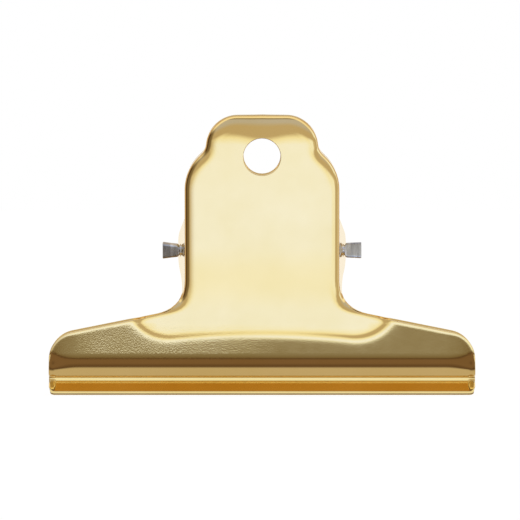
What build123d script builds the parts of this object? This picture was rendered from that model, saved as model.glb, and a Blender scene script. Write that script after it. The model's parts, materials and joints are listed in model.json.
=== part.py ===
from build123d import *
import math
import os

# Bulldog clip standing on its lips: X across the jaw, front towards -Y, Z up.
# The two plates meet at Y = 0 and the pin runs along X. Millimetres and degrees.

# Sheet
SHEET = 0.6
JAW_WIDTH = 85.0
CLIP_HEIGHT = 55.8

# Hinge
PIN_HEIGHT = 28.8
PIN_DIAMETER = 2.3
PIN_PLAY = 0.08
PIN_END_PLAY = 0.25
PIN_HEAD_LENGTH = 2.9
PIN_HEAD_WIDTH = 3.4
PIN_HEAD_THICKNESS = 1.5
PIN_HEAD_CORNER = 0.4

# Handle, as seen from the front
HANDLE_WIDTH = 30.8
HANDLE_TILT = 8.0
NOSE_WIDTH = 22.7
NOSE_TAPER = 0.95
NOSE_HEIGHT = 6.9
NOSE_RADIUS = 6.4
NECK_RADIUS = 3.5
SHOULDER_HEIGHT = 3.7
SHOULDER_RADIUS = 9.0
ROOT_HEIGHT = 17.1
ROOT_RADIUS = 4.0
RIM_DEPTH = 2.6
RIM_RADIUS = 1.8
TIP_BEND_LENGTH = 5.0
TIP_BEND_RADIUS = 14.0
HOLE_DIAMETER = 7.4
HOLE_DROP = 8.3

# Jaw
WING_HEIGHT = 11.7
WING_RADIUS = 5.5
WING_LEAN = 11.0
BELLY_REACH = 7.2
BELLY_RADIUS = 6.3
NIP_GAP = 0.2
NIP_RADIUS = 0.7
LIP_HEIGHT = 2.7
LIP_FLARE = 57.0
LIP_FOOT = 0.25
LIP_CORNER = 0.9

# Pressed step between the handle and the jaw
TONGUE_WIDTH = 43.0
TONGUE_HEIGHT = 11.8
TONGUE_RADIUS = 4.0
TONGUE_FLARE = 1.4
STEP_DEPTH = 0.7
STEP_SLOPE = 50.0
STEP_CREST = 1.1
STEP_HOLLOW = 0.8

# Ears
EAR_ROOT = 15.6
EAR_TIP = 4.0
FRONT_EAR_LEAN = 8.0
REAR_EAR_LEAN = -6.0

# Spring
WIRE_DIAMETER = 1.4
COIL_DIAMETER = 6.2
COIL_TURNS = 4
COIL_PITCH = 2.3
LEG_LENGTH = 13.5
LEG_PLAY = 0.25
WIRE_FACETS = 10

tilt = math.radians(HANDLE_TILT)
tilt_sin = math.sin(tilt)
tilt_cos = math.cos(tilt)
half_jaw = JAW_WIDTH / 2
half_handle = HANDLE_WIDTH / 2
handle_top = CLIP_HEIGHT - RIM_DEPTH * tilt_sin
handle_radii = [NOSE_RADIUS, NECK_RADIUS, SHOULDER_RADIUS, ROOT_RADIUS]
tongue_end = TONGUE_WIDTH / 2 + TONGUE_FLARE + 2 * SHEET
fold = (RIM_RADIUS + RIM_DEPTH) / 2

# The belly's arc runs from the nip's arc up to the wing's leaning wall, tangent to both.
wing_lean = math.radians(WING_LEAN)
span = BELLY_RADIUS + NIP_RADIUS
nip_out = NIP_GAP / 2 + SHEET + NIP_RADIUS
belly_out = BELLY_REACH - BELLY_RADIUS * math.cos(wing_lean)
under = math.acos((nip_out - belly_out) / span)
belly_up = LIP_HEIGHT + span * math.sin(under)
wing_foot = belly_up - BELLY_RADIUS * math.sin(wing_lean)
jaw_top = ROOT_HEIGHT + ROOT_RADIUS

# The lip is trimmed upright, so that its underside ends in a narrow flat foot.
lip_lean = math.radians(LIP_FLARE)
inner_nip = NIP_RADIUS + SHEET
inner_drop = LIP_HEIGHT - inner_nip * math.sin(lip_lean)
lip_reach = nip_out - inner_nip * math.cos(lip_lean) + inner_drop * math.tan(lip_lean) + LIP_FOOT

# The handle's face runs up from the foot of the step, which is pressed in below the wing's wall.
tongue_out = BELLY_REACH + (TONGUE_HEIGHT - wing_foot) * math.tan(wing_lean) - STEP_DEPTH
handle_out = tongue_out + (PIN_HEIGHT - TONGUE_HEIGHT) * math.tan(tilt)
deep = 2 * handle_out

# A plate is drawn in X (width), Y (height above the lip edge) and Z (distance out from the meeting plane).
handle_face = Plane((0, PIN_HEIGHT, handle_out), x_dir=(1, 0, 0), z_dir=(0, -tilt_sin, tilt_cos))
handle_side = Plane(handle_face.origin, x_dir=(0, tilt_cos, tilt_sin), z_dir=(1, 0, 0))
pin_on_side = handle_side.to_local_coords(Vector(0, PIN_HEIGHT, 0))


def along_handle(height):
    """Distance up the handle face from pin level."""
    return (height - PIN_HEIGHT) / tilt_cos


def on_handle(point):
    """A point in the handle face's own axes: across, up and out of the face."""
    return handle_face.to_local_coords(point)


def edge_height(x):
    """Height of the wing's sloping edge."""
    return ROOT_HEIGHT - (x - half_handle) * (ROOT_HEIGHT - WING_HEIGHT) / (half_jaw - half_handle)


def rounded_outline(points, radii):
    """Closed outline, mirrored from half of it, with each corner's radius held within its two sides."""
    corners = [Vector(*p) for p in points]
    reach = [0]
    for before, corner, after, radius in zip(corners, corners[1:], corners[2:], radii):
        turn = math.radians((corner - before).get_angle(after - corner))
        reach.append(radius * math.tan(turn / 2))
    reach.append(0)
    sides = [(b - a).length for a, b in zip(corners, corners[1:])]
    room = [0.99 * side / max(side, r + s) for side, r, s in zip(sides, reach, reach[1:])]
    fitted = [radius * min(room[i], room[i + 1]) for i, radius in enumerate(radii)]
    half = FilletPolyline(*corners, radius=fitted)
    return make_face(half.edges() + mirror(half, about=Plane.YZ).edges())


def handle_corners():
    """Half of the handle's outline, from the middle of its top edge down to the wing's root."""
    nose = NOSE_WIDTH / 2
    neck = handle_top - NOSE_HEIGHT
    return [
        (0, handle_top),
        (nose - NOSE_TAPER, handle_top),
        (nose, neck),
        (half_handle, neck - SHOULDER_HEIGHT),
        (half_handle, ROOT_HEIGHT),
    ]


def plate_outline():
    """The whole plate's outline from the front."""
    corners = handle_corners() + [(half_jaw, WING_HEIGHT), (half_jaw, 0), (0, 0)]
    return rounded_outline(corners, handle_radii + [WING_RADIUS, LIP_CORNER])


def handle_outline():
    """The handle's outline laid on its own face, running on under the wings' inner ends.

    At the root it climbs off the wing's edge by the rim's radius, so that the rolled rim runs out there.
    """
    low = TONGUE_HEIGHT - 2 * SHEET
    climb = [(half_handle, ROOT_HEIGHT + RIM_RADIUS), (tongue_end, edge_height(tongue_end) + RIM_RADIUS)]
    corners = handle_corners()[:-1] + climb + [(tongue_end, low), (0, low)]
    laid = [(x, along_handle(height)) for x, height in corners]
    return rounded_outline(laid, handle_radii + [0, 0])


def pan(inset, depth):
    """The handle as a block with its rim rolled over and its tip bent back, inset from the outer skin."""
    outline = offset(handle_outline(), -inset) if inset else handle_outline()
    block = extrude(handle_face * Pos(0, 0, -depth) * outline, depth)
    start = along_handle(handle_top) - TIP_BEND_LENGTH
    low = along_handle(0)
    bend = CenterArc((start, -TIP_BEND_RADIUS), TIP_BEND_RADIUS - inset, 45, 45)
    far = bend @ 0
    back = Polyline((start, -inset), (low, -inset), (low, -2 * deep), (far.X, -2 * deep), far)
    side = make_face(bend.edges() + back.edges())
    block = block & extrude(handle_side * side, half_jaw, both=True)
    skin = block.faces().filter_by(lambda face: face.normal_at().dot(handle_face.z_dir) > 0.7)
    lowest = along_handle(edge_height(tongue_end) + RIM_RADIUS)
    rim = [edge for edge in skin.edges() if on_handle(edge.center()).Y > lowest]
    rim = [edge for edge in rim if max(abs(on_handle(edge @ i).Y - start) for i in (0, 1)) > 0.001]
    return fillet(rim, RIM_RADIUS - inset)


def jaw(inset, half_width):
    """The jaw as a block behind its side profile: lip, nip, belly and the wing's leaning wall."""
    def nip(angle):
        radius = NIP_RADIUS + inset
        return (LIP_HEIGHT + radius * math.sin(angle), nip_out - radius * math.cos(angle))

    def belly(angle):
        radius = BELLY_RADIUS - inset
        return (belly_up - radius * math.sin(angle), belly_out + radius * math.cos(angle))

    lip = nip(-lip_lean)
    lip_edge = (0, lip[1] + lip[0] * math.tan(lip_lean))
    crown = belly(wing_lean)
    wing_top = (jaw_top, crown[1] + (jaw_top - crown[0]) * math.tan(wing_lean))
    profile = (
        Polyline(wing_top, (jaw_top, -deep), (0, -deep), lip_edge, lip).edges()
        + ThreePointArc(lip, nip((under - lip_lean) / 2), nip(under)).edges()
        + ThreePointArc(belly(under), belly((under + wing_lean) / 2), crown).edges()
        + Line(crown, wing_top).edges()
    )
    return extrude(Plane.YZ * make_face(profile), half_width, both=True)


def tongue(inset, grow):
    """The pressed recess's floor outline, laid on the handle face."""
    slope = math.radians(STEP_SLOPE)
    spread = inset * (math.cos(slope) - (1 - math.sin(slope)) * math.tan(slope)) + grow
    top = along_handle(ROOT_HEIGHT + 2 * ROOT_RADIUS)
    low = along_handle(TONGUE_HEIGHT)
    side = TONGUE_WIDTH / 2
    corners = [(0, top), (side + TONGUE_FLARE, top), (side, low), (0, low)]
    outline = rounded_outline(corners, [0, TONGUE_RADIUS])
    return handle_face * Pos(0, 0, -inset) * offset(outline, spread)


def step_share(slope):
    """Share of the step's two radii that the wall has room for, where the step is least deep."""
    wall = STEP_DEPTH * tilt_cos / math.sin(slope)
    return min(1, wall / ((STEP_CREST + STEP_HOLLOW) * math.tan(slope / 2)))


def stepped(block, inset):
    """The jaw block with the recess pressed into it, its edges rounded to a soft step."""
    block = block - extrude(tongue(inset, 0), BELLY_REACH / 2, taper=-STEP_SLOPE)
    slope = math.radians(STEP_SLOPE)
    share = step_share(slope)
    wing_normal = Vector(0, -math.sin(wing_lean), math.cos(wing_lean))

    def facing(direction, cosine):
        return block.faces().filter_by(lambda face: abs(face.normal_at().dot(direction) - cosine) < 0.0002)

    floor = facing(handle_face.z_dir, math.sin(slope)).edges() & facing(handle_face.z_dir, 1).edges()
    block = fillet(floor, STEP_HOLLOW * share + inset)
    crest = facing(handle_face.z_dir, math.sin(slope)).edges() & facing(wing_normal, 1).edges()
    return fillet(crest, STEP_CREST * share - inset)


def ear(lean):
    """The right ear: a lobe of sheet folded from the rim, leaning outward, with a round end about the pin."""
    root = Vector(EAR_ROOT / 2, -RIM_RADIUS - pin_on_side.Y)
    touch = math.atan2(root.Y, root.X) - math.acos(EAR_TIP / root.length)
    tip = Vector(EAR_TIP * math.cos(touch), EAR_TIP * math.sin(touch))
    lobe = make_face(
        Polyline((-tip.X, tip.Y), (-root.X, root.Y), (root.X, root.Y), (tip.X, tip.Y)).edges()
        + ThreePointArc((tip.X, tip.Y), (0, -EAR_TIP), (-tip.X, tip.Y)).edges()
    )
    flat = extrude(Pos(pin_on_side.X, pin_on_side.Y) * lobe, SHEET / 2, both=True)
    leaned = Pos(0, -fold, half_handle - SHEET / 2) * Rot(-lean, 0, 0) * Pos(0, fold, 0) * flat
    return handle_side * leaned


def ear_outside(lean, beyond):
    """How far out the ear's outer face stands, at a distance past the pin's axis."""
    slant = math.radians(lean)
    run = -pin_on_side.Y - fold + beyond
    return half_handle - SHEET / 2 + run * math.tan(slant) + SHEET / 2 / math.cos(slant)


def plate(ear_lean):
    """One stamped plate: jaw, stepped tongue, rimmed handle, two ears and the hanging hole."""
    window = extrude(tongue(0, -2 * STEP_HOLLOW), deep, both=True)
    above = Box(2 * JAW_WIDTH, CLIP_HEIGHT, 4 * deep, align=(Align.CENTER, Align.MIN, Align.CENTER))
    window = window & Pos(0, TONGUE_HEIGHT + STEP_HOLLOW) * above
    front_view = extrude(plate_outline(), 2 * deep, both=True)
    below = Pos(0, jaw_top + RIM_RADIUS) * Rot(180, 0, 0) * above
    trim = Pos(0, 0, lip_reach) * Box(2 * JAW_WIDTH, LIP_HEIGHT, deep, align=(Align.CENTER, Align.MIN, Align.MIN))
    outer = stepped(jaw(0, half_jaw), 0) - window + pan(0, RIM_DEPTH) - (below - front_view) - trim
    inner = stepped(jaw(SHEET, half_jaw + SHEET), SHEET) - window + pan(SHEET, deep)
    right_ear = ear(ear_lean)
    sheet = outer - inner + right_ear + mirror(right_ear, about=Plane.YZ)
    pin_hole = Pos(0, PIN_HEIGHT, 0) * Rot(0, 90, 0) * Cylinder(PIN_DIAMETER / 2 + PIN_PLAY, 2 * JAW_WIDTH)
    hole_place = handle_face * Pos(0, along_handle(CLIP_HEIGHT - HOLE_DROP))
    hanging_hole = hole_place * Cylinder(HOLE_DIAMETER / 2, 2 * RIM_DEPTH)
    return sheet - pin_hole - hanging_hole


def hinge_pin():
    """Round rod with both ends squeezed flat into heads with rounded corners, outside the outer ears."""
    shank = ear_outside(FRONT_EAR_LEAN, PIN_HEAD_WIDTH / 2) + PIN_END_PLAY
    rod = Rot(0, 90, 0) * Cylinder(PIN_DIAMETER / 2, 2 * shank)
    neck = Plane((shank, 0, 0), x_dir=(0, 1, 0), z_dir=(1, 0, 0))
    end = neck.offset(PIN_HEAD_LENGTH)
    flat = RectangleRounded(PIN_HEAD_THICKNESS, PIN_HEAD_WIDTH, PIN_HEAD_CORNER)
    fan = loft([neck * Circle(PIN_DIAMETER / 2), end * flat], ruled=True)
    return Pos(0, 0, PIN_HEIGHT) * (rod + fan + mirror(fan, about=Plane.YZ))


def biarc(start, leave, end, arrive):
    """Two tangent arcs from one point and direction to another."""
    chord = end - start
    bend = 1 - leave.dot(arrive)
    along = chord.dot(leave + arrive)
    arm = (math.sqrt(along**2 + 2 * bend * chord.dot(chord)) - along) / (2 * bend)
    first = start + leave * arm
    second = end - arrive * arm
    middle = (first + second) * 0.5
    return [TangentArc(start, middle, tangent=leave), TangentArc(middle, end, tangent=second - first)]


def spring_path():
    """Centre line of the spring: front leg, turns about the pin, rear leg."""
    radius = COIL_DIAMETER / 2
    bearing = -pin_on_side.Y - SHEET - LEG_PLAY - WIRE_DIAMETER / 2
    leg_reach = math.hypot(radius, LEG_LENGTH)
    leg_lean = math.atan2(LEG_LENGTH, radius) - math.acos(bearing / leg_reach) + tilt
    start = math.pi + leg_lean
    turns = COIL_TURNS + 0.5 - leg_lean / math.pi
    ease = 0.25
    half_length = COIL_PITCH * (turns - ease) / 2

    def climb(turn):
        """Distance along the pin, easing in and out so that the legs stand square to it."""
        if turn < ease:
            return COIL_PITCH * turn**2 / (2 * ease) - half_length
        if turn > turns - ease:
            return half_length - COIL_PITCH * (turns - turn) ** 2 / (2 * ease)
        return COIL_PITCH * (turn - ease / 2) - half_length

    def point(turn):
        angle = start + 2 * math.pi * turn
        return Vector(climb(turn), radius * math.cos(angle), PIN_HEIGHT + radius * math.sin(angle))

    def heading(turn):
        angle = start + 2 * math.pi * turn
        speed = math.pi * COIL_DIAMETER
        rise = COIL_PITCH * min(1, turn / ease, (turns - turn) / ease)
        return Vector(rise, -speed * math.sin(angle), speed * math.cos(angle)).normalized()

    halves = math.ceil(2 * turns)
    stops = [turns * i / halves for i in range(halves + 1)]
    edges = [Line(point(0) - heading(0) * LEG_LENGTH, point(0))]
    for a, b in zip(stops, stops[1:]):
        edges += biarc(point(a), heading(a), point(b), heading(b))
    edges.append(Line(point(turns), point(turns) + heading(turns) * LEG_LENGTH))
    return edges


def least_gap(edges):
    """Least space between the wire and itself, on points along its centre line."""
    points = []
    for edge in edges:
        steps = math.ceil(edge.length / (WIRE_DIAMETER / 3))
        points += [edge @ (i / steps) for i in range(steps)]
    travel = [0]
    for a, b in zip(points, points[1:]):
        travel.append(travel[-1] + (b - a).length)
    half_turn = math.pi * COIL_DIAMETER / 2
    nearest = min(
        (p - q).length
        for i, p in enumerate(points)
        for j, q in enumerate(points[:i])
        if travel[i] - travel[j] > half_turn
    )
    return nearest - WIRE_DIAMETER


def torsion_spring():
    """One unbroken wire wound about the pin."""
    edges = spring_path()
    print(f"torsion_spring least gap to itself {least_gap(edges):.2f} mm")
    path = Wire([edge.edge() for edge in edges])
    section = Plane(path @ 0, z_dir=path % 0) * RegularPolygon(WIRE_DIAMETER / 2, WIRE_FACETS)
    return sweep(section, path)


os.makedirs("parts", exist_ok=True)
upright = Rot(90, 0, 0)
export_step(upright * plate(FRONT_EAR_LEAN), "parts/front_plate.step")
export_step(Rot(0, 0, 180) * upright * plate(REAR_EAR_LEAN), "parts/rear_plate.step")
export_step(hinge_pin(), "parts/hinge_pin.step")
export_step(torsion_spring(), "parts/torsion_spring.step")
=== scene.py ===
import json
import math

import bpy
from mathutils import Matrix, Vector
from mathutils.geometry import delaunay_2d_cdt
from mathutils.kdtree import KDTree


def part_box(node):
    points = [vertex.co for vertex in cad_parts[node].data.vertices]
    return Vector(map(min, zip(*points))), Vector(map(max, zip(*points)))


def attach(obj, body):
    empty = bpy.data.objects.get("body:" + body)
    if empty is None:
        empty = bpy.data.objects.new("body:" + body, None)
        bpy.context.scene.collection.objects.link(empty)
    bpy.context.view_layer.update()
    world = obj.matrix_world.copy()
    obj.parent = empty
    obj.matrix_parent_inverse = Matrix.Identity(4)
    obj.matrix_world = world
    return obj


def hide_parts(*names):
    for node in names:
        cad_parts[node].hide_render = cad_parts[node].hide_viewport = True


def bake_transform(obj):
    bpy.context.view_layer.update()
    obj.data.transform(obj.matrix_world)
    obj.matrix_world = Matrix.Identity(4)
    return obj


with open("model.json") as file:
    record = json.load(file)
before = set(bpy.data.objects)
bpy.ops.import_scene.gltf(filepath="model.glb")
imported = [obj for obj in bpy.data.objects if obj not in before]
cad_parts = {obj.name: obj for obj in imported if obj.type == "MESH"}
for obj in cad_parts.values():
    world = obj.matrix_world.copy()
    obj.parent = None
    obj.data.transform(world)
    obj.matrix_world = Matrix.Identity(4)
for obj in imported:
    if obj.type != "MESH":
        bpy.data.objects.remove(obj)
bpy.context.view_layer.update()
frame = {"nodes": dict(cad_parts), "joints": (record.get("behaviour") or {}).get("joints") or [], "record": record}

scene = bpy.context.scene
scene.view_settings.view_transform = "Standard"

# A bulldog clip: two stamped plates, a hinge pin and a torsion spring. Its sizes are in millimetres and
# degrees; those of the camera, studio and materials are in metres and degrees.
MM = 0.001

# Sizes read from the frame; the handle's tilt is in radians
mounts = {mount["name"]: mount for mount in frame["record"]["mounts"]}
hinge = {joint["name"]: joint for joint in frame["joints"]}["jaw_hinge"]
hole = mounts["front_hanging_hole"]
hole_radius = hole["dims"]["r_mm"]
hole_height = hole["pos_m"][2] / MM
half_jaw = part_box("front_plate")[1].x / MM
clip_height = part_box("front_plate")[1].z / MM
pin_height = hinge["pos_m"][2] / MM
tilt = math.atan2(-hole["axis"][2], -hole["axis"][1])

# Sheet and edges
SHEET = 0.6
EDGE = 0.13

# Handle, as seen from the front
HANDLE_WIDTH = 30.8
NOSE_WIDTH = 22.7
NOSE_TAPER = 0.95
NOSE_HEIGHT = 6.9
NOSE_RADIUS = 6.4
NECK_RADIUS = 3.5
SHOULDER_HEIGHT = 3.7
SHOULDER_RADIUS = 9.0
ROOT_HEIGHT = 17.1
ROOT_RADIUS = 7.0
RIM_DEPTH = 2.6
TIP_BEND = 5.6
TIP_SLOPE = 24.0
TIP_WAVE = 0.4
TIP_WAVE_REACH = 6.4
TOP_RISE = 0.15
TOP_ARCH = 0.3
CROWN_RADIUS = 1000.0

# Jaw
WING_HEIGHT = 11.7
WING_RADIUS = 5.5
WING_LEAN = 11.0
BELLY_REACH = 7.2
BELLY_RADIUS = 6.3
BELLY_HEIGHT = 9.69
UNDER_LEAN = 47.0
CREASE_RADIUS = 0.7
ROOF_LEAN = 86.0
NIP_GAP = 0.2
NIP_RADIUS = 0.3
NIP_FLAT = 0.45
NIP_LEAN = 1.5
NIP_HEIGHT = 3.28
LIP_FLARE = 53.0
LIP_FOOT = 0.25
LIP_ROUND = 0.4
LIP_CORNER = 1.2
CURL_LENGTH = 6.0
CURL_SLOPE = 18.0
CURL_START = 0.7
CURL_RISE = 4.0

# Pressed step between the handle and the jaw
TONGUE_WIDTH = 53.0
TONGUE_HEIGHT = 12.6
TONGUE_RADIUS = 9.0
TONGUE_ARCH = 0.6
STEP_FALL = 0.42
STEP_HOLLOW = 0.6
FOOT_SWELL = 0.6
FOOT_LENGTH = 20.0

# Ears
EAR_ROOT = 15.6
EAR_TIP = 4.0
EAR_FOLD = 2.2
FRONT_EAR_LEAN = 8.0
REAR_EAR_LEAN = -6.0
PIN_HOLE_RADIUS = 1.23

# Pin: its neck is given by distances inside the head and shares of the rod's width, and how square its
# rings are by the power of their curve
PIN_DIAMETER = 2.3
PIN_HEAD_LENGTH = 2.9
PIN_HEAD_WIDTH = 3.2
PIN_HEAD_THICKNESS = 1.5
PIN_NECK = [(0.9, 1.0), (0.7, 0.9), (0.45, 0.85)]
HEAD_START = 0.25
HEAD_START_SHARE = 0.9
HEAD_FAN = 1.2
HEAD_FAN_SHARE = 0.4
HEAD_BEVEL = 0.3
HEAD_TWIST = (17, -3)
HEAD_TWIST_START = 0.3
HEAD_TAPER = (0.78, 0.92)
ROUND = 2
ROUNDED = 5
SQUARE = 8

# Spring; its wire's ends are rounded by a share of the radius
WIRE_DIAMETER = 1.4
WIRE_END = 0.13
COIL_DIAMETER = 6.2
COIL_TURNS = 4
COIL_PITCH = 2.3
COIL_EASE = 0.25
LEG_LENGTH = 13.5
LEG_PLAY = 0.25

# Roll of the sheet's edge along the outline's sides: lip, end, slope, handle, shoulder, nose and top
ROLL_ANGLE = [3, 8, 8, 90, 90, 84, 58]
ROLL_LENGTH = [0.3, 0.8, 0.8, 3.6, 3.6, 3.6, 3.6]
ROLL_FLANGE = [0, 0, 0, 1.0, 1.0, 0.3, 0.05]

# Places along the outline, counted in sides: the lip's upright trim ends, and the ears begin and end
LIP_PLACE = 0.5
EAR_PLACES = (2.8, 3)

# How finely the surfaces are sampled
STATION_STEP = [1.5, 0.5, 0.7, 0.45, 0.5, 0.5, 0.6]
CORNER_STEP = 7
ROLL_STEPS = 12
FLANGE_STEPS = 2
SECTION_ROWS = (4, 8, 3, 8, 3, 10, 4, 20)
WALL_RISE = 6
WALL_ROWS = 10
NECK_DROP = 2
HANDLE_ROWS = 20
TIP_ROWS = 16
COLUMNS = 22
COLUMN_STEP = 1.6
END_COLUMNS = 8
END_STEP = 0.75
GRID_ROOM = 0.5
STEP_RINGS = range(-4, 13)
STEP_RING_GAP = 0.18
STEP_COLUMNS = 25
STEP_TURNS = 14
STEP_TURN = 4.5
STEP_ROOM = 0.12
HOLE_POINTS = 48
HOLE_COLLAR = 0.6
EAR_STEP = 0.8
EAR_COLLAR = 0.3
PIN_HOLE_POINTS = 24
PIN_POINTS = 40
WIRE_POINTS = 20
COIL_STEPS = 32
LEG_STEPS = 8
HALVINGS = 30
NUDGE = 0.02
NEAR = 1e-6

half_handle = HANDLE_WIDTH / 2
handle_top = clip_height - RIM_DEPTH * math.sin(tilt)
hole_out = -hole["pos_m"][1] / MM + SHEET / 2 / math.cos(tilt)
handle_out = hole_out - (hole_height - pin_height) * math.tan(tilt)
pin_depth = handle_out * math.cos(tilt)

# The jaw's section runs from the lip's edge upwards, each piece tangent to the next. A piece is its length,
# and its lean from upright at the start and at the end, in radians.
flare = math.radians(LIP_FLARE)
nip_lean = math.radians(NIP_LEAN)
roof_lean = math.radians(ROOF_LEAN)
under_lean = math.radians(UNDER_LEAN)
wing_lean = math.radians(WING_LEAN)
lip_low = SHEET / math.sin(flare) - LIP_FOOT / math.tan(flare)
lip_up = NIP_HEIGHT - NIP_FLAT * math.cos(nip_lean) - NIP_RADIUS * math.sin(flare)
lip_length = (lip_up - lip_low) / math.cos(flare)
lip_out = NIP_GAP / 2 + SHEET + NIP_RADIUS * (1 - math.cos(flare)) + lip_length * math.sin(flare)


def go_on(start, length, lean, end_lean):
    """The end of a piece of the section that begins at start."""
    if lean == end_lean:
        return start + Vector((math.sin(lean), math.cos(lean))) * length
    radius = length / (end_lean - lean)
    across = math.cos(lean) - math.cos(end_lean)
    up = math.sin(end_lean) - math.sin(lean)
    return start + Vector((across, up)) * radius


def bend(radius, lean, end_lean):
    """A curved piece of the section."""
    return radius * abs(end_lean - lean), lean, end_lean


def jaw_pieces():
    """The section's pieces.

    The roof over the lip and the belly's underside are as long as they must be to meet.
    """
    pieces = [
        (lip_length, -flare, -flare),
        bend(NIP_RADIUS, -flare, nip_lean),
        (NIP_FLAT, nip_lean, nip_lean),
        bend(NIP_RADIUS, nip_lean, roof_lean),
    ]
    spot = Vector((lip_out, lip_low))
    for piece in pieces:
        spot = go_on(spot, *piece)
    crease = bend(CREASE_RADIUS, roof_lean, under_lean)
    belly = bend(BELLY_RADIUS, under_lean, wing_lean)
    centre = Vector((BELLY_REACH - BELLY_RADIUS * math.cos(wing_lean), BELLY_HEIGHT))
    foot = centre + Vector((math.cos(under_lean), -math.sin(under_lean))) * BELLY_RADIUS
    rest = foot - go_on(spot, *crease)
    turn = math.sin(roof_lean - under_lean)
    roof = (rest.x * math.cos(under_lean) - rest.y * math.sin(under_lean)) / turn
    underside = (rest.y * math.sin(roof_lean) - rest.x * math.cos(roof_lean)) / turn
    pieces += [(roof, roof_lean, roof_lean), crease, (underside, under_lean, under_lean), belly]
    return pieces + [(2 * clip_height, wing_lean, wing_lean)]


section = []
piece_start, piece_spot = 0, Vector((lip_out, lip_low))
for piece in jaw_pieces():
    section.append((piece_start, piece_spot, *piece))
    piece_start, piece_spot = piece_start + piece[0], go_on(piece_spot, *piece)
belly_end = section[-1][0]


def smooth(value):
    """0 to 1 with level ends."""
    t = min(max(value, 0), 1)
    return t * t * t * (t * (6 * t - 15) + 10)


def jaw_section(s):
    """Distance out and height of the jaw's outer face, at a length s from the lip's edge."""
    piece = [piece for piece in section if piece[0] <= s or piece is section[0]][-1]
    start, spot, length, lean, end_lean = piece
    return go_on(spot, s - start, lean, lean + (end_lean - lean) * (s - start) / length)


def section_at(height):
    """The length along the section at which it has this height."""
    piece = [piece for piece in section if piece[1].y <= height or piece is section[0]][-1]
    start, spot, length, lean, end_lean = piece
    if lean == end_lean:
        return start + (height - spot.y) / math.cos(lean)
    curve = (end_lean - lean) / length
    return start + (math.asin(math.sin(lean) + curve * (height - spot.y)) - lean) / curve


def tongue_arch(x):
    """How much lower the tongue's foot is at x than in the middle."""
    return TONGUE_ARCH * (x / half_handle) ** 2


def tongue_distance(x, height):
    """How far a point is outside the handle's pressed tongue, negative inside."""
    low = TONGUE_HEIGHT + TONGUE_RADIUS - tongue_arch(x)
    across = abs(x) - TONGUE_WIDTH / 2 + TONGUE_RADIUS
    down = low - height
    outside = math.hypot(max(across, 0), max(down, 0))
    return outside + min(max(across, down), 0) - TONGUE_RADIUS


def step_share(distance):
    """1 on the handle, falling off on the wing: a tight hollow and then a long soft crest."""
    past = (distance + math.hypot(distance, STEP_HOLLOW)) / 2
    return math.exp(-past / STEP_FALL)


def tip_drop(x, height):
    """How far the handle's tip is bent back, with a wave across it beside the hole."""
    wave = TIP_WAVE * math.cos(math.pi * x / TIP_WAVE_REACH)
    past = max(height - (handle_top - TIP_BEND - wave), 0)
    return past**2 * math.tan(math.radians(TIP_SLOPE)) / (2 * TIP_BEND)


def end_curl(x, height):
    """How far the jaw's ends curl back, above the nip."""
    past = max(abs(x) - half_jaw + CURL_LENGTH, 0)
    share = smooth((height - NIP_HEIGHT - CURL_START) / CURL_RISE)
    return share * past**2 * math.tan(math.radians(CURL_SLOPE)) / (2 * CURL_LENGTH)


def skin(x, s):
    """A point of the front plate's outer face, in the flat blank's x and s."""
    out, up = jaw_section(s)
    share = step_share(tongue_distance(x, up))
    crown = (x**2 + (up - pin_height) ** 2) / (2 * CROWN_RADIUS)
    swell = FOOT_SWELL * smooth((TONGUE_HEIGHT + FOOT_LENGTH - up) / FOOT_LENGTH)
    out += share * (handle_out + (up - pin_height) * math.tan(tilt) - crown + swell - out)
    drop = tip_drop(x, up)
    out -= drop * math.cos(tilt) + end_curl(x, up)
    return Vector((x, -out, up + drop * math.sin(tilt)))


def skin_normal(x, s):
    """The outward direction of the front plate's outer face."""
    across = skin(x + NUDGE, s) - skin(x - NUDGE, s)
    along = skin(x, s + NUDGE) - skin(x, s - NUDGE)
    return across.cross(along).normalized()


def steps_to(length, step):
    """Even steps along a length, without its ends."""
    count = max(round(length / step), 1)
    return [i / count for i in range(1, count)]


def outline():
    """Stations along the right half of the plate's outline, from the lip's middle to the top's.

    Each is a point, the outward direction, and its place: a side's number, or between two at a corner.
    """
    neck = handle_top - NOSE_HEIGHT
    nose = NOSE_WIDTH / 2
    corners = [
        (0, lip_low),
        (half_jaw, lip_low),
        (half_jaw, WING_HEIGHT),
        (half_handle, ROOT_HEIGHT),
        (half_handle, neck - SHOULDER_HEIGHT),
        (nose, neck),
        (nose - NOSE_TAPER, clip_height + TOP_RISE - TOP_ARCH),
        (0, clip_height + TOP_RISE),
    ]
    radii = [LIP_CORNER, WING_RADIUS, ROOT_RADIUS, SHOULDER_RADIUS, NECK_RADIUS, NOSE_RADIUS]
    points = [Vector(c) for c in corners]
    ways = [(b - a).normalized() for a, b in zip(points, points[1:])]
    turns = [-a.angle_signed(b) for a, b in zip(ways, ways[1:])]
    cuts = [0] + [r * math.tan(abs(t) / 2) for r, t in zip(radii, turns)] + [0]
    stations = []
    for i, way in enumerate(ways):
        start = points[i] + way * cuts[i]
        end = points[i + 1] - way * cuts[i + 1]
        side = Vector((way.y, -way.x))
        length = (end - start).length
        stations.append((start, side, i))
        stations += [(start.lerp(end, f), side, i) for f in steps_to(length, STATION_STEP[i])]
        stations.append((end, side, i))
        if i == len(turns):
            break
        turn = turns[i]
        radius = math.copysign(radii[i], turn)
        centre = end - side * radius
        for f in steps_to(abs(turn), math.radians(CORNER_STEP)):
            angle = turn * f
            turned = Vector((
                side.x * math.cos(angle) - side.y * math.sin(angle),
                side.x * math.sin(angle) + side.y * math.cos(angle),
            ))
            stations.append((centre + turned * radius, turned, i + smooth(f)))
    return stations


def along_sides(values, place):
    """A value given for each side of the outline, at a place on it."""
    i = min(int(place), len(values) - 2)
    return values[i] + (place - i) * (values[i + 1] - values[i])


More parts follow.
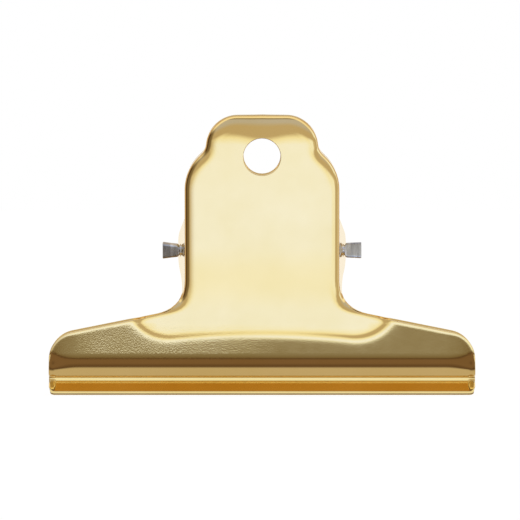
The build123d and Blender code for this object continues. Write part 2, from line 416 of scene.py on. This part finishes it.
def roll_turns(place):
    """The turn and length of each step over the rolled edge, which tightens towards its end."""
    angle = math.radians(along_sides(ROLL_ANGLE, place))
    step = along_sides(ROLL_LENGTH, place) / ROLL_STEPS
    return [(angle * ((k + 0.5) / ROLL_STEPS) ** 2, step) for k in range(ROLL_STEPS)]


def ear_depth(u):
    """How deep behind the handle's face the ear reaches, at a distance u along it from the pin."""
    root = Vector((EAR_ROOT / 2, pin_depth - EAR_FOLD))
    touch = math.atan2(root.y, root.x) - math.acos(EAR_TIP / root.length)
    tip = Vector((EAR_TIP * math.cos(touch), EAR_TIP * math.sin(touch)))
    if abs(u) < tip.x:
        return pin_depth + math.sqrt(EAR_TIP**2 - u**2)
    share = (abs(u) - tip.x) / (root.x - tip.x)
    return pin_depth - tip.y - share * (root.y - tip.y)


class Sheet:
    """An open surface with exact normals, which thicken() turns into a plate with rounded cut edges."""

    def __init__(self):
        self.points = []
        self.normals = []
        self.faces = []
        self.upright = {}

    def add(self, point, normal):
        """Adds a vertex and gives its number."""
        self.points.append(point)
        self.normals.append(normal)
        return len(self.points) - 1

    def rims(self):
        """For each vertex on a cut edge, those before and after it, with the sheet on their left."""
        single = {}
        for face in self.faces:
            for a, b in zip(face, face[1:] + face[:1]):
                if (b, a) in single:
                    del single[b, a]
                else:
                    single[a, b] = True
        after = {a: b for a, b in single}
        before = {b: a for a, b in single}
        return {v: (before[v], after[v]) for v in after}

    def thicken(self):
        """Points, normals and faces of the closed plate."""
        points = list(self.points)
        normals = list(self.normals)
        faces = [list(face) for face in self.faces]
        count = len(points)
        points += [p - n * SHEET for p, n in zip(self.points, self.normals)]
        normals += [-n for n in self.normals]
        faces += [[v + count for v in reversed(face)] for face in self.faces]
        rims = self.rims()
        columns = {}
        for v, (previous, following) in rims.items():
            p, n = self.points[v], self.normals[v]
            out = (self.points[following] - self.points[previous]).cross(n).normalized()
            cut = upright_cut(p, n, self.upright[v]) if v in self.upright else square_cut(p, n, out)
            columns[v] = [v, *range(len(points), len(points) + len(cut)), v + count]
            points += [spot for spot, _ in cut]
            normals += [facing for _, facing in cut]
        for v, (_, following) in rims.items():
            a, b = columns[v], columns[following]
            faces += [[b[i], a[i], a[i + 1], b[i + 1]] for i in range(len(a) - 1)]
        return points, normals, faces


def square_cut(p, n, out):
    """Points and normals round a cut edge, square to the sheet."""
    cut = []
    for deep, angles in ((EDGE, (30, 60, 90)), (SHEET - EDGE, (90, 120, 150))):
        for angle in angles:
            turn = math.radians(angle)
            facing = n * math.cos(turn) + out * math.sin(turn)
            cut.append((p - n * deep + facing * EDGE, facing))
    return cut


def upright_cut(p, n, rise):
    """Points and normals round the lip's end, trimmed upright, with its foot at a rise above the ground."""
    forward = Vector((0, -1, 0))
    start = math.asin(n.z)
    upper = p - n * EDGE
    lower = Vector((p.x, upper.y - EDGE + LIP_ROUND, LIP_ROUND + rise))
    upper_angles = (start * 2 / 3, start / 3, 0)
    lower_angles = (0, -math.pi / 4, -math.pi / 2)
    cut = []
    for centre, radius, angles in ((upper, EDGE, upper_angles), (lower, LIP_ROUND, lower_angles)):
        for angle in angles:
            facing = forward * math.cos(angle) + Vector((0, 0, math.sin(angle)))
            cut.append((centre + facing * radius, facing))
    return cut


def add_mesh(name, points, normals, faces, material):
    """An object from points in millimetres, shaded with their normals."""
    mesh = bpy.data.meshes.new(name)
    mesh.from_pydata([p * MM for p in points], [], faces)
    mesh.polygons.foreach_set("use_smooth", [True] * len(faces))
    mesh.materials.append(material)
    mesh.validate()
    mesh.normals_split_custom_set_from_vertices(normals)
    obj = bpy.data.objects.new(name, mesh)
    scene.collection.objects.link(obj)
    return obj


def row_steps(start, length, count):
    """Even steps on from a start, with the end."""
    return [start + length * i / count for i in range(1, count + 1)]


def grid_points():
    """Points in rows and columns over the plate, closer together where it bends."""
    rows = [0]
    for (start, _, length, _, _), count in zip(section, SECTION_ROWS):
        rows += row_steps(start, length, count)
    wall = section_at(TONGUE_HEIGHT + WALL_RISE)
    neck = section_at(handle_top - NOSE_HEIGHT - NECK_DROP)
    top = section_at(clip_height)
    rows += row_steps(belly_end, wall - belly_end, WALL_ROWS)
    rows += row_steps(wall, neck - wall, HANDLE_ROWS)
    rows += row_steps(neck, top - neck, TIP_ROWS)
    columns = [i * COLUMN_STEP for i in range(-COLUMNS, COLUMNS + 1)]
    ends = [half_jaw - CURL_LENGTH + i * END_STEP for i in range(END_COLUMNS)]
    columns += ends + [-x for x in ends]
    return [(x, s) for s in rows for x in columns]


def step_points():
    """Points along the pressed step, in rings at even distances from the tongue's edge."""
    points = []
    straight = TONGUE_WIDTH / 2 - TONGUE_RADIUS
    for i in STEP_RINGS:
        away = i * STEP_RING_GAP
        for k in range(-STEP_COLUMNS, STEP_COLUMNS + 1):
            x = straight * k / STEP_COLUMNS
            points.append((x, TONGUE_HEIGHT - tongue_arch(x) - away))
        for k in range(1, STEP_TURNS + 1):
            angle = math.radians(STEP_TURN * k)
            x = straight + (TONGUE_RADIUS + away) * math.sin(angle)
            height = TONGUE_HEIGHT + TONGUE_RADIUS - tongue_arch(x)
            height -= (TONGUE_RADIUS + away) * math.cos(angle)
            points += [(x, height), (-x, height)]
    return [(x, section_at(height)) for x, height in points]


def keep_apart(points, others, room):
    """The points that are no nearer than room to any of the others."""
    tree = KDTree(len(others))
    for i, (x, s) in enumerate(others):
        tree.insert((x, s, 0), i)
    tree.balance()
    return [(x, s) for x, s in points if tree.find((x, s, 0))[2] > room]


def inner_points(border):
    """Points inside the plate at which its surface is sampled, clear of its border."""
    step = keep_apart(step_points(), border, STEP_ROOM)
    return step + keep_apart(grid_points(), border + step, GRID_ROOM)


def round_turns(count):
    """Angles at even steps round a circle."""
    return [2 * math.pi * i / count for i in range(count)]


def hole_ring(radius):
    """Points of the flat blank round the hanging hole."""
    ring = []
    for angle in round_turns(HOLE_POINTS):
        height = hole_height + radius * math.sin(angle) * math.cos(tilt)
        ring.append((radius * math.cos(angle), section_at(height)))
    return ring


def cover(border, bore, inner):
    """Points and triangles inside a border and outside a bore, and which given point each is."""
    first, last = len(border), len(border) + len(bore)
    edges = [(i, (i + 1) % first) for i in range(first)]
    edges += [(i, i + 1 if i + 1 < last else first) for i in range(first, last)]
    points = [Vector(p) for p in border + bore + inner]
    coords, _, faces, origin, _, _ = delaunay_2d_cdt(points, edges, [], 1, NEAR)
    sources = [given[0] for given in origin]
    on_bore = {v for v, source in enumerate(sources) if first <= source < last}
    return coords, [face for face in faces if not on_bore.issuperset(face)], sources


def plate_sheet(ear_lean):
    """The front plate's outer face with its rolled rim and ears."""
    half = outline()
    mirrored = [(Vector((-p.x, p.y)), Vector((-n.x, n.y)), k) for p, n, k in reversed(half[1:-1])]
    whole = half + mirrored
    sheet = Sheet()
    base = []
    for point, side, place in whole:
        angle = math.radians(along_sides(ROLL_ANGLE, place))
        inset = sum(step * math.cos(turn) for turn, step in roll_turns(place))
        inset += (along_sides(ROLL_FLANGE, place) + EDGE) * math.cos(angle)
        inner = point - side * inset
        base.append((inner.x, section_at(inner.y)))
    rim_ids = [sheet.add(skin(*b), skin_normal(*b)) for b in base]
    fill_inside(sheet, base, rim_ids)
    roll_rim(sheet, whole, rim_ids, math.radians(ear_lean))
    return sheet


def fill_inside(sheet, base, rim_ids):
    """Covers the plate inside its rim, round the hanging hole."""
    bore = hole_ring(hole_radius + EDGE)
    collar = hole_ring(hole_radius + HOLE_COLLAR)
    middle = section_at(hole_height)
    room = hole_radius + HOLE_COLLAR / 2
    inside = inner_points(base + bore + collar)
    inside = [(x, s) for x, s in inside if math.hypot(x, s - middle) > room]
    coords, faces, sources = cover(base, bore, collar + inside)
    ids = {v: rim_ids[source] for v, source in enumerate(sources) if source < len(base)}
    for face in faces:
        for v in face:
            if v not in ids:
                ids[v] = sheet.add(skin(*coords[v]), skin_normal(*coords[v]))
        a, b, c = (coords[v] for v in face)
        turn = (b - a).cross(c - a)
        sheet.faces.append([ids[v] for v in (face if turn > 0 else reversed(face))])


def roll_rim(sheet, whole, rim_ids, lean):
    """Rolls the sheet over along its outline, with a flange on the handle and an ear on each side."""
    count = len(whole)
    bands = []
    roots = {1: [], -1: []}
    for i, (point, _, place) in enumerate(whole):
        p, n = sheet.points[rim_ids[i]], sheet.normals[rim_ids[i]]
        way = sheet.points[rim_ids[(i + 1) % count]] - sheet.points[rim_ids[i - 1]]
        out = way.cross(n).normalized()
        angle = math.radians(along_sides(ROLL_ANGLE, place))
        flange = along_sides(ROLL_FLANGE, place)
        band = [rim_ids[i]]
        spot = p
        for k, (turn, step) in enumerate(roll_turns(place)):
            spot = spot + (out * math.cos(turn) - n * math.sin(turn)) * step
            turn = angle * ((k + 1) / ROLL_STEPS) ** 2
            band.append(sheet.add(spot, n * math.cos(turn) + out * math.sin(turn)))
        if place < LIP_PLACE:
            sheet.upright[band[-1]] = point.y - lip_low
        down = out * math.cos(angle) - n * math.sin(angle)
        facing = n * math.cos(angle) + out * math.sin(angle)
        for k in range(1, FLANGE_STEPS + 1) if flange > 0 else []:
            band.append(sheet.add(spot + down * flange * k / FLANGE_STEPS, facing))
        bands.append(band)
        u = (point.y - pin_height) / math.cos(tilt) + handle_out * math.sin(tilt)
        if EAR_PLACES[0] < place <= EAR_PLACES[1] and ear_depth(u) > RIM_DEPTH + EDGE:
            roots[1 if point.x > 0 else -1].append((u, band[-1], out, n))
    for i in range(count):
        a, b = bands[i], bands[(i + 1) % count]
        both = min(len(a), len(b))
        sheet.faces += [[a[k], a[k + 1], b[k + 1], b[k]] for k in range(both - 1)]
        for longer, short in ((a, b), (b, a)):
            if len(longer) > both:
                tail = [longer[both], longer[both - 1], short[both - 1]]
                sheet.faces.append(tail if longer is b else tail[::-1])
    for root in roots.values():
        add_ear(sheet, root, lean)


def add_ear(sheet, root, lean):
    """A lobe folded back from the handle's flange, with a hole for the pin.

    root holds the fold's stations: distance along the handle from the pin, vertex, way out and normal.
    """
    _, _, out, n = root[len(root) // 2]
    away = out * math.sin(lean) - n * math.cos(lean)
    facing = out * math.cos(lean) + n * math.sin(lean)
    fold = sorted(((u, sheet.points[v]) for u, v, _, _ in root), key=lambda item: item[0])

    def place(u, d):
        k = sum(1 for at, _ in fold[1:-1] if at < u)
        (low, a), (high, b) = fold[k], fold[k + 1]
        return a.lerp(b, (u - low) / (high - low)) + away * d

    def length(u):
        return (ear_depth(u) - RIM_DEPTH) / math.cos(lean)

    def height_on_axis(u):
        start = place(u, 0)
        return start.z - away.z * start.y / away.y

    low, high = fold[0][0], fold[-1][0]
    for _ in range(HALVINGS):
        middle = (low + high) / 2
        low, high = (middle, high) if height_on_axis(middle) < pin_height else (low, middle)
    centre = Vector((middle, -place(middle, 0).y / away.y))
    reach = PIN_HOLE_RADIUS + EDGE
    turns = round_turns(PIN_HOLE_POINTS)
    ring = [centre + Vector((reach * math.cos(t), reach * math.sin(t) / math.cos(lean))) for t in turns]
    border = [Vector((u, 0)) for u, _, _, _ in root]
    border += [Vector((u, length(u))) for u, _, _, _ in reversed(root)]
    inner = []
    for u, _, _, _ in root[1:-1]:
        rows = max(round(length(u) / EAR_STEP), 1)
        spots = [Vector((u, length(u) * k / rows)) for k in range(1, rows)]
        inner += [spot for spot in spots if (spot - centre).length > reach + EAR_COLLAR]
    coords, faces, sources = cover(border, ring, inner)
    ids = {v: root[source][1] for v, source in enumerate(sources) if source < len(root)}
    for face in faces:
        for v in face:
            if v not in ids:
                ids[v] = sheet.add(place(*coords[v]), facing)
        corners = [ids[v] for v in face]
        a, b, c = (sheet.points[v] for v in corners)
        sheet.faces.append(corners if (b - a).cross(c - a).dot(facing) > 0 else corners[::-1])


def bar(rows):
    """Points, normals and faces of a bar through rings of points, closed at both ends."""
    sides = len(rows[0])
    points = [p for row in rows for p in row]
    normals, faces = [], []
    for i, row in enumerate(rows):
        before, after = rows[max(i - 1, 0)], rows[min(i + 1, len(rows) - 1)]
        for j in range(sides):
            around = row[(j + 1) % sides] - row[j - 1]
            normals.append(around.cross(after[j] - before[j]).normalized())
    for i in range(len(rows) - 1):
        for j in range(sides):
            a, b = i * sides + j, i * sides + (j + 1) % sides
            faces.append([a, b, b + sides, a + sides])
    for row, inner in ((rows[0], rows[1]), (rows[-1], rows[-2])):
        facing = (sum(row, Vector()) - sum(inner, Vector())).normalized()
        cap = range(len(points), len(points) + sides)
        points += row
        normals += [facing] * sides
        faces.append(list(cap) if row is rows[-1] else list(reversed(cap)))
    return points, normals, faces


def wire(path, radius):
    """Rings of points along a path, with rounded ends."""
    last = len(path) - 1
    ways = [(path[min(i + 1, last)] - path[max(i - 1, 0)]).normalized() for i in range(last + 1)]
    angles = [math.radians(a) for a in (30, 60, 90)]

    def rounded(end, sign):
        """Places beyond an end of the wire, its way there and its share of the radius."""
        places = []
        for angle in angles:
            beyond = ways[end] * radius * WIRE_END * math.sin(angle) * sign
            places.append((path[end] + beyond, ways[end], 1 - WIRE_END * (1 - math.cos(angle))))
        return places

    spots = rounded(0, -1)[::-1] + [(p, way, 1) for p, way in zip(path, ways)] + rounded(last, 1)
    across = ways[0].orthogonal().normalized()
    turns = round_turns(WIRE_POINTS)
    rows = []
    for p, way, size in spots:
        across = (across - way * across.dot(way)).normalized()
        up = way.cross(across)
        rows.append([p + (across * math.cos(t) + up * math.sin(t)) * radius * size for t in turns])
    return rows


def pin_rows():
    """Rings of points along the pin: a round rod with both ends squeezed to flat heads."""
    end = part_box("hinge_pin")[1].x / MM
    shank = end - PIN_HEAD_LENGTH
    rod = PIN_DIAMETER / 2
    thick = PIN_HEAD_THICKNESS / 2
    wide = PIN_HEAD_WIDTH / 2
    bevel = HEAD_BEVEL * EDGE

    def half(taper):
        """One end's stations: x, half the thickness, half the width and the power of the curve."""
        fan = (1 - HEAD_FAN_SHARE) * taper + HEAD_FAN_SHARE
        neck = [(shank - inside, share * rod, share * rod, ROUND) for inside, share in PIN_NECK]
        return neck + [
            (shank - HEAD_START, HEAD_START_SHARE * thick, HEAD_START_SHARE * taper * wide, ROUNDED),
            (shank, thick, taper * wide, SQUARE),
            (shank + HEAD_FAN, thick, fan * wide, SQUARE),
            (end - EDGE, thick, wide, SQUARE),
            (end - bevel, thick - bevel, wide - bevel, SQUARE),
            (end, thick - EDGE, wide - EDGE, SQUARE),
        ]

    rows = []
    left = [(-x, a, b, power) for x, a, b, power in reversed(half(HEAD_TAPER[0]))]
    for x, a, b, power in left + half(HEAD_TAPER[1]):
        twist = math.radians(HEAD_TWIST[x > 0]) if abs(x) > shank - HEAD_TWIST_START else 0
        row = []
        for turn in round_turns(PIN_POINTS):
            c, s = math.cos(turn), math.sin(turn)
            y = math.copysign(abs(c) ** (2 / power), c) * a
            z = math.copysign(abs(s) ** (2 / power), s) * b
            row.append(Vector((
                x,
                y * math.cos(twist) - z * math.sin(twist),
                pin_height + y * math.sin(twist) + z * math.cos(twist),
            )))
        rows.append(row)
    return rows


def spring_path():
    """Centre line of the spring: front leg, turns about the pin, rear leg."""
    radius = COIL_DIAMETER / 2
    bearing = pin_depth - SHEET - LEG_PLAY - WIRE_DIAMETER / 2
    leg_reach = math.hypot(radius, LEG_LENGTH)
    leg_lean = math.atan2(LEG_LENGTH, radius) - math.acos(bearing / leg_reach) + tilt
    turns = COIL_TURNS + 0.5 - leg_lean / math.pi
    half_length = COIL_PITCH * (turns - COIL_EASE) / 2

    def climb(turn):
        if turn < COIL_EASE:
            return COIL_PITCH * turn**2 / (2 * COIL_EASE) - half_length
        if turn > turns - COIL_EASE:
            return half_length - COIL_PITCH * (turns - turn) ** 2 / (2 * COIL_EASE)
        return COIL_PITCH * (turn - COIL_EASE / 2) - half_length

    def point(turn):
        angle = math.pi + leg_lean + 2 * math.pi * turn
        return Vector((climb(turn), radius * math.cos(angle), pin_height + radius * math.sin(angle)))

    count = COIL_STEPS * COIL_TURNS
    coil = [point(turns * i / count) for i in range(count + 1)]
    leave = Vector((0, math.sin(leg_lean), -math.cos(leg_lean)))
    arrive = Vector((0, leave.y, -leave.z))
    legs = [LEG_LENGTH * i / LEG_STEPS for i in range(LEG_STEPS, 0, -1)]
    front, rear = [coil[0] - leave * d for d in legs], [coil[-1] + arrive * d for d in reversed(legs)]
    return front + coil + rear


def add_plate(name, node, body, ear_lean, turned, material):
    """A stamped plate; the rear one is the front one turned round."""
    points, normals, faces = plate_sheet(ear_lean).thicken()
    if turned:
        points = [Vector((-p.x, -p.y, p.z)) for p in points]
        normals = [Vector((-n.x, -n.y, n.z)) for n in normals]
    plate = add_mesh(name, points, normals, faces, material)
    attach(plate, body)
    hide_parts(node)


def add_pin(material):
    """The hinge pin."""
    pin = add_mesh("pin_rod", *bar(pin_rows()), material)
    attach(pin, "pin")
    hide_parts("hinge_pin")


def add_spring(material):
    """The torsion spring."""
    path = spring_path()
    spring = add_mesh("spring_wire", *bar(wire(path, WIRE_DIAMETER / 2)), material)
    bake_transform(spring)
    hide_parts("torsion_spring")


# Camera, as the photograph was taken: a long lens, a little above the clip. The sensor is in millimetres.
ELEVATION = 1.3
DISTANCE = 2.2
SENSOR_WIDTH = 36.0
PIXELS = 520
METRES_PER_PIXEL = 0.0001988
AIM = Vector((-0.0004, -0.007, 0.027))
CLIP_END = 10


def add_camera():
    """The camera in front of the clip."""
    rise = math.radians(ELEVATION)
    back = Vector((0, -math.cos(rise), math.sin(rise)))
    data = bpy.data.cameras.new("camera")
    data.sensor_width = SENSOR_WIDTH
    data.lens = SENSOR_WIDTH * DISTANCE / (PIXELS * METRES_PER_PIXEL)
    data.clip_end = CLIP_END
    camera = bpy.data.objects.new("camera", data)
    camera.location = AIM + back * DISTANCE
    camera.rotation_euler = (-back).to_track_quat("-Z", "Y").to_euler()
    scene.collection.objects.link(camera)
    scene.camera = camera


def ramp(tree, source, stops):
    """A colour ramp over source, with (place, colour) stops."""
    node = tree.nodes.new("ShaderNodeValToRGB")
    elements = node.color_ramp.elements
    while len(elements) < len(stops):
        elements.new(0.5)
    for element, (place, colour) in zip(elements, stops):
        element.position = place
        element.color = (*colour, 1)
    tree.links.new(source, node.inputs["Fac"])
    return node.outputs["Color"]


def mix(tree, factor, first, second):
    """The first colour where factor is 0, and the second where it is 1."""
    node = tree.nodes.new("ShaderNodeMix")
    node.data_type = "RGBA"
    tree.links.new(factor, node.inputs[0])
    for value, socket in ((first, node.inputs[6]), (second, node.inputs[7])):
        if isinstance(value, tuple):
            socket.default_value = (*value, 1)
        else:
            tree.links.new(value, socket)
    return node.outputs[2]


def spread(tree, source, low, high, curve="SMOOTHSTEP"):
    """source from low to high as 0 to 1."""
    node = tree.nodes.new("ShaderNodeMapRange")
    node.interpolation_type = curve
    node.inputs["From Min"].default_value = low
    node.inputs["From Max"].default_value = high
    tree.links.new(source, node.inputs["Value"])
    return node.outputs["Result"]


def calculate(tree, operation, *values):
    """The result of a sum on numbers and sockets."""
    node = tree.nodes.new("ShaderNodeMath")
    node.operation = operation
    for value, socket in zip(values, node.inputs):
        if isinstance(value, (int, float)):
            socket.default_value = value
        else:
            tree.links.new(value, socket)
    return node.outputs["Value"]


def parts(tree, vector):
    """A vector's x, y and z."""
    split = tree.nodes.new("ShaderNodeSeparateXYZ")
    tree.links.new(vector, split.inputs["Vector"])
    return split.outputs


# Colours of the backdrop and of the studio that the metal reflects
BACKDROP = (1, 1, 1)
PALE = (0.9, 0.88, 0.86)
WHITE = (1.0, 1.2, 1.85)
CREAM = (1.0, 1.14, 1.4)
YELLOW = (0.98, 1.04, 1.0)
SAND = (1.0, 0.98, 0.9)
TAN = (0.56, 0.5, 0.41)
SKY = (0.54, 0.57, 0.74)
OLIVE = (0.27, 0.25, 0.21)
SHADE = (0.2, 0.16, 0.1)
BROWN = (0.2, 0.13, 0.08)
DEEP = (0.1, 0.06, 0.035)
EDGE_TAN = (0.62, 0.48, 0.34)

# The studio's bands in front, from straight down at 0 to straight up at 1
BANDS = [
    (0.0, DEEP),
    (0.05, BROWN),
    (0.12, BROWN),
    (0.145, DEEP),
    (0.17, SHADE),
    (0.26, OLIVE),
    (0.306, OLIVE),
    (0.33, CREAM),
    (0.347, WHITE),
    (0.365, WHITE),
    (0.41, CREAM),
    (0.47, YELLOW),
    (0.53, TAN),
    (0.68, TAN),
    (0.84, SKY),
    (0.965, SKY),
    (0.985, SHADE),
]

# How far the low bands sag at the sides, and the share of its depth that a direction counts as aside
SAG = 1.2
ASIDE_DEPTH = 0.5

# Where each zone of the studio starts and where it is full, along x, y or z of a direction
SAG_Z = (-0.31, -0.39)
MIDDLE_TOP_Z = (0.1, -0.1)
MIDDLE_FOOT_Z = (-0.36, -0.31)
LEFT_TAN_X = (-0.05, -0.85)
LEFT_DEEP_X = (-0.75, -0.95)
RIGHT_CREAM_X = (0.3, 0.55)
RIGHT_TAN_X = (0.75, 0.88)
LEFT_SHADE_X = (-0.65, -0.9)
ASIDE_X = (0.28, 0.33)
ASIDE_Z = (-0.4, -0.45)
RING_X = (-0.2, 0.3)
RING_TOP_Z = (0.35, 0.75)
RING_FOOT_Z = (-0.4, -0.75)
RING_Y = (-0.22, -0.02)
END_X = (0.95, 0.985)
BACK_FOOT_Z = (-0.2, -0.6)
BACK_Y = (0.3, 0.5)
BEHIND_Y = (0.82, 0.95)


def add_world():
    """A white backdrop, and in the metal a studio in front of it.

    The studio is soft bands by height, darker on the left and overhead and pale low at the sides, then a
    ring of softer tones beside the clip, and tan behind it, round the backdrop.
    """
    world = bpy.data.worlds.new("studio")
    scene.world = world
    world.use_nodes = True
    tree = world.node_tree
    background = tree.nodes["Background"]
    across, depth, height = parts(tree, tree.nodes.new("ShaderNodeTexCoord").outputs["Generated"])
    sag = calculate(tree, "MULTIPLY", across, across)
    sag = calculate(tree, "MULTIPLY", sag, spread(tree, height, *SAG_Z))
    level = calculate(tree, "MULTIPLY_ADD", sag, -SAG, height)
    front = ramp(tree, spread(tree, level, -1, 1, "LINEAR"), BANDS)
    middle = spread(tree, height, *MIDDLE_TOP_Z)
    middle = calculate(tree, "MULTIPLY", middle, spread(tree, height, *MIDDLE_FOOT_Z))
    rims = mix(tree, spread(tree, across, *LEFT_TAN_X), front, TAN)
    rims = mix(tree, spread(tree, across, *LEFT_DEEP_X), rims, DEEP)
    rims = mix(tree, spread(tree, across, *RIGHT_CREAM_X), rims, CREAM)
    rims = mix(tree, spread(tree, across, *RIGHT_TAN_X), rims, TAN)
    front = mix(tree, middle, front, rims)
    front = mix(tree, spread(tree, across, *LEFT_SHADE_X), front, SHADE)
    aside = calculate(tree, "MULTIPLY_ADD", depth, ASIDE_DEPTH, calculate(tree, "ABSOLUTE", across))
    aside = spread(tree, aside, *ASIDE_X)
    aside = calculate(tree, "MULTIPLY", aside, spread(tree, height, *ASIDE_Z))
    front = mix(tree, aside, front, PALE)
    ring = mix(tree, spread(tree, across, *RING_X), DEEP, CREAM)
    ring = mix(tree, spread(tree, height, *RING_TOP_Z), ring, SAND)
    ring = mix(tree, spread(tree, height, *RING_FOOT_Z), ring, TAN)
    back = mix(tree, spread(tree, height, *BACK_FOOT_Z), EDGE_TAN, TAN)
    sides = mix(tree, spread(tree, depth, *RING_Y), front, ring)
    sides = mix(tree, spread(tree, across, *END_X), sides, TAN)
    sides = mix(tree, spread(tree, depth, *BACK_Y), sides, back)
    rays = tree.nodes.new("ShaderNodeLightPath").outputs
    behind = spread(tree, depth, *BEHIND_Y)
    seen = calculate(tree, "MAXIMUM", rays["Is Camera Ray"], rays["Is Transmission Ray"])
    seen = calculate(tree, "MULTIPLY_ADD", rays["Is Glossy Ray"], behind, seen)
    colour = mix(tree, seen, sides, BACKDROP)
    tree.links.new(colour, background.inputs["Color"])


FLOOR_HALF = 2.0
FLOOR_COLOUR = (0.9, 0.9, 0.9, 1)
FLOOR_GLOW = 0.9
FLOOR_STRENGTH = 1.06


def add_floor():
    """A white floor that keeps the clip's shadow and isn't seen in the metal."""
    mesh = bpy.data.meshes.new("floor")
    corners = [(x * FLOOR_HALF, y * FLOOR_HALF, 0) for x, y in ((-1, -1), (1, -1), (1, 1), (-1, 1))]
    mesh.from_pydata(corners, [], [(0, 1, 2, 3)])
    floor = bpy.data.objects.new("floor", mesh)
    scene.collection.objects.link(floor)
    material = bpy.data.materials.new("floor")
    material.use_nodes = True
    tree = material.node_tree
    tree.nodes.clear()
    out = tree.nodes.new("ShaderNodeOutputMaterial")
    diffuse = tree.nodes.new("ShaderNodeBsdfDiffuse")
    diffuse.inputs["Color"].default_value = FLOOR_COLOUR
    glow = tree.nodes.new("ShaderNodeEmission")
    glow.inputs["Strength"].default_value = FLOOR_STRENGTH
    blend = tree.nodes.new("ShaderNodeMixShader")
    seen = tree.nodes.new("ShaderNodeLightPath").outputs["Is Camera Ray"]
    tree.links.new(calculate(tree, "MULTIPLY", seen, FLOOR_GLOW), blend.inputs[0])
    tree.links.new(diffuse.outputs[0], blend.inputs[1])
    tree.links.new(glow.outputs[0], blend.inputs[2])
    tree.links.new(blend.outputs[0], out.inputs["Surface"])
    mesh.materials.append(material)
    floor.visible_glossy = False


# Cells per metre of the metals' clouds of tone and polish, and the clouds' range that the tone spans
TONE_CELLS = 90
TONE_RANGE = (0.3, 0.7)
POLISH_CELLS = 500
NOISE_DETAIL = 3

# Where a banded grain starts and where it is full, in height and across, and its least shares: beside
# that stretch of the wing, and above and below it
GRAIN_FOOT_Z = (0.0065, 0.00845)
GRAIN_TOP_Z = (0.01463, 0.0133)
GRAIN_LEFT_X = (-0.04, -0.031)
GRAIN_RIGHT_X = (0.006, -0.012)
GRAIN_BESIDE = 0.15
GRAIN_BEYOND = 0.04


def noise(tree, place, scale, stretch):
    """Cloudy noise on a piece's own coordinates; scale counts its cells per metre."""
    mapping = tree.nodes.new("ShaderNodeMapping")
    mapping.inputs["Scale"].default_value = stretch
    tree.links.new(place, mapping.inputs["Vector"])
    node = tree.nodes.new("ShaderNodeTexNoise")
    node.inputs["Scale"].default_value = scale
    node.inputs["Detail"].default_value = NOISE_DETAIL
    tree.links.new(mapping.outputs["Vector"], node.inputs["Vector"])
    return node.outputs["Fac"]


def grain_share(tree, place):
    """How much of its grain the sheet shows: all on the left wing, little beside it, hardly any beyond."""
    across, _, height = parts(tree, place)
    band = spread(tree, height, *GRAIN_FOOT_Z)
    band = calculate(tree, "MULTIPLY", band, spread(tree, height, *GRAIN_TOP_Z))
    side = spread(tree, across, *GRAIN_LEFT_X)
    side = calculate(tree, "MULTIPLY", side, spread(tree, across, *GRAIN_RIGHT_X))
    side = calculate(tree, "MULTIPLY_ADD", side, 1 - GRAIN_BESIDE, GRAIN_BESIDE)
    share = calculate(tree, "MULTIPLY", band, side)
    return calculate(tree, "MULTIPLY_ADD", share, 1 - GRAIN_BEYOND, GRAIN_BEYOND)


def metal(name, dark, light, roughness, grain, depth, stretch=(1, 1, 1), banded=False):
    """A plated metal whose tone, polish and surface vary.

    grain counts its grain's cells per metre, depth is the grain's height in metres, and a banded grain
    shows in one place.
    """
    material = bpy.data.materials.new(name)
    material.use_nodes = True
    tree = material.node_tree
    shader = tree.nodes["Principled BSDF"]
    shader.inputs["Metallic"].default_value = 1
    place = tree.nodes.new("ShaderNodeTexCoord").outputs["Object"]
    tone = ramp(tree, noise(tree, place, TONE_CELLS, stretch), list(zip(TONE_RANGE, (dark, light))))
    tree.links.new(tone, shader.inputs["Base Color"])
    polish = tree.nodes.new("ShaderNodeMapRange")
    polish.inputs["To Min"].default_value = roughness[0]
    polish.inputs["To Max"].default_value = roughness[1]
    tree.links.new(noise(tree, place, POLISH_CELLS, stretch), polish.inputs["Value"])
    tree.links.new(polish.outputs["Result"], shader.inputs["Roughness"])
    bump = tree.nodes.new("ShaderNodeBump")
    bump.inputs["Distance"].default_value = depth
    relief = noise(tree, place, grain, stretch)
    if banded:
        relief = calculate(tree, "MULTIPLY", relief, grain_share(tree, place))
    tree.links.new(relief, bump.inputs["Height"])
    tree.links.new(bump.outputs["Normal"], shader.inputs["Normal"])
    return material


add_camera()
add_world()
add_floor()
gold = metal(
    "gold", dark=(0.905, 0.68, 0.285), light=(0.935, 0.715, 0.33), roughness=(0.06, 0.12),
    grain=4000, depth=0.000019, banded=True,
)
pin_steel = metal(
    "pin_steel", dark=(0.34, 0.34, 0.35), light=(0.82, 0.82, 0.82), roughness=(0.2, 0.4),
    grain=150, depth=0.000004, stretch=(12, 2, 2),
)
spring_steel = metal(
    "spring_steel", dark=(0.42, 0.4, 0.37), light=(0.55, 0.53, 0.5), roughness=(0.25, 0.4),
    grain=1500, depth=0.000004,
)
for node, obj in frame["nodes"].items():
    obj.data.materials.clear()
    obj.data.materials.append({"hinge_pin": pin_steel, "torsion_spring": spring_steel}.get(node, gold))
add_plate("front_stamping", "front_plate", "front_jaw", FRONT_EAR_LEAN, False, gold)
add_plate("rear_stamping", "rear_plate", "rear_jaw", REAR_EAR_LEAN, True, gold)
add_pin(pin_steel)
add_spring(spring_steel)
